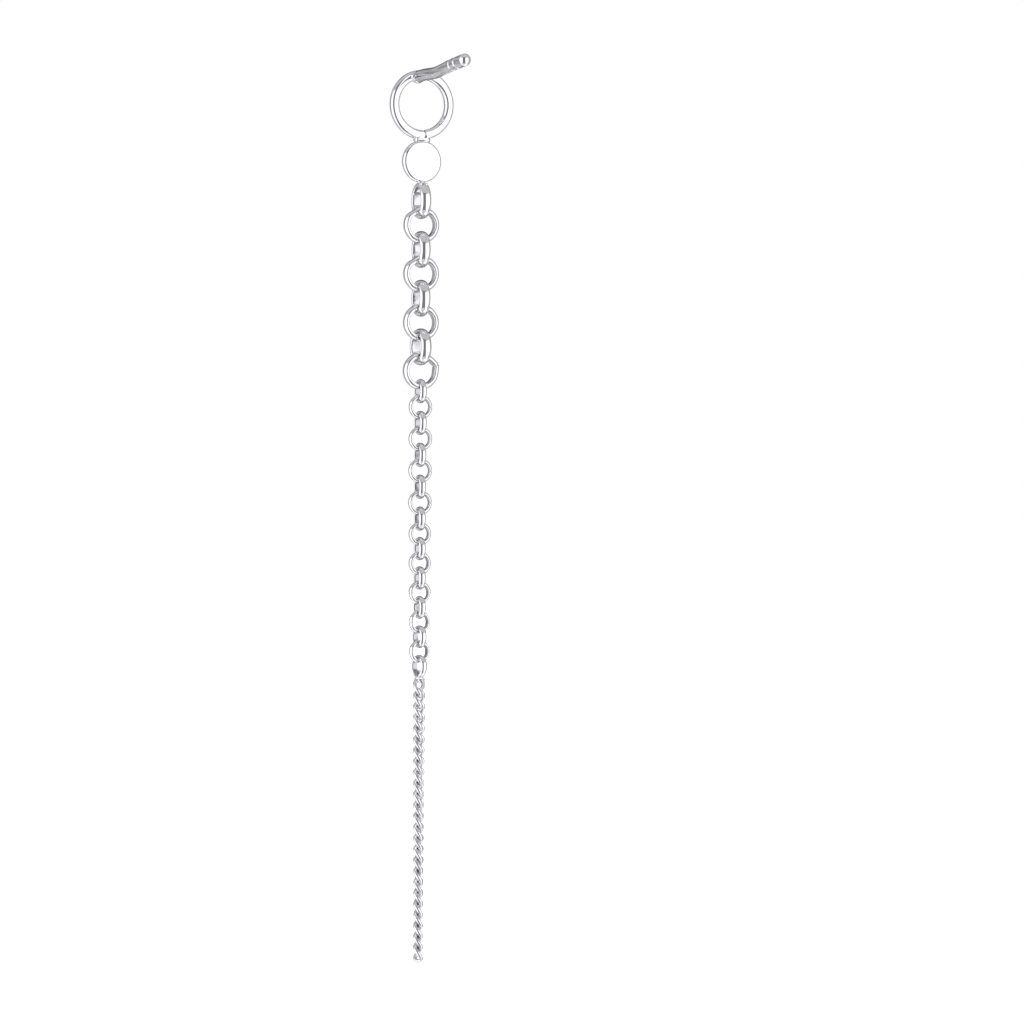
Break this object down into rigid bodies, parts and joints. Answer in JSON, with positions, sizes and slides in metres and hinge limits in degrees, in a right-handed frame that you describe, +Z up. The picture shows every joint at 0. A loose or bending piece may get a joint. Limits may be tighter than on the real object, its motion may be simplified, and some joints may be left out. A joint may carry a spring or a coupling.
{
  "type": "ear chain",
  "caption": "Polished silver drop earring: an ear post on a flat ring and a small plain disc, with a free-hanging chain that steps down from large and small round links to fine curb.",
  "frame": {"origin": "on the ear post's axis in the plane of the ring's back face, where the ear lobe sits", "axes": "+Z up, the chain hangs along -Z; the ring and disc lie in the XZ plane; the ear post points back through the lobe along -Y, rising 6.5 degrees"},
  "size_m": [0.0054, 0.0104, 0.0707],
  "materials": {
    "silver": "polished sterling silver"
  },
  "bodies": {
    "root": {"soldered_top": "silver", "large_link_2": "silver", "large_link_3": "silver", "large_link_4": "silver", "large_link_5": "silver", "large_link_6": "silver", "large_link_7": "silver", "large_link_8": "silver", "small_link_1": "silver", "small_link_2": "silver", "small_link_3": "silver", "small_link_4": "silver", "small_link_5": "silver", "small_link_6": "silver", "small_link_7": "silver", "small_link_8": "silver", "small_link_9": "silver", "small_link_10": "silver", "small_link_11": "silver", "small_link_12": "silver", "small_link_13": "silver", "small_link_14": "silver", "small_link_15": "silver", "small_link_16": "silver", "small_link_17": "silver", "small_link_18": "silver", "small_link_19": "silver", "curb_chain": "silver"}
  },
  "joints": []
}
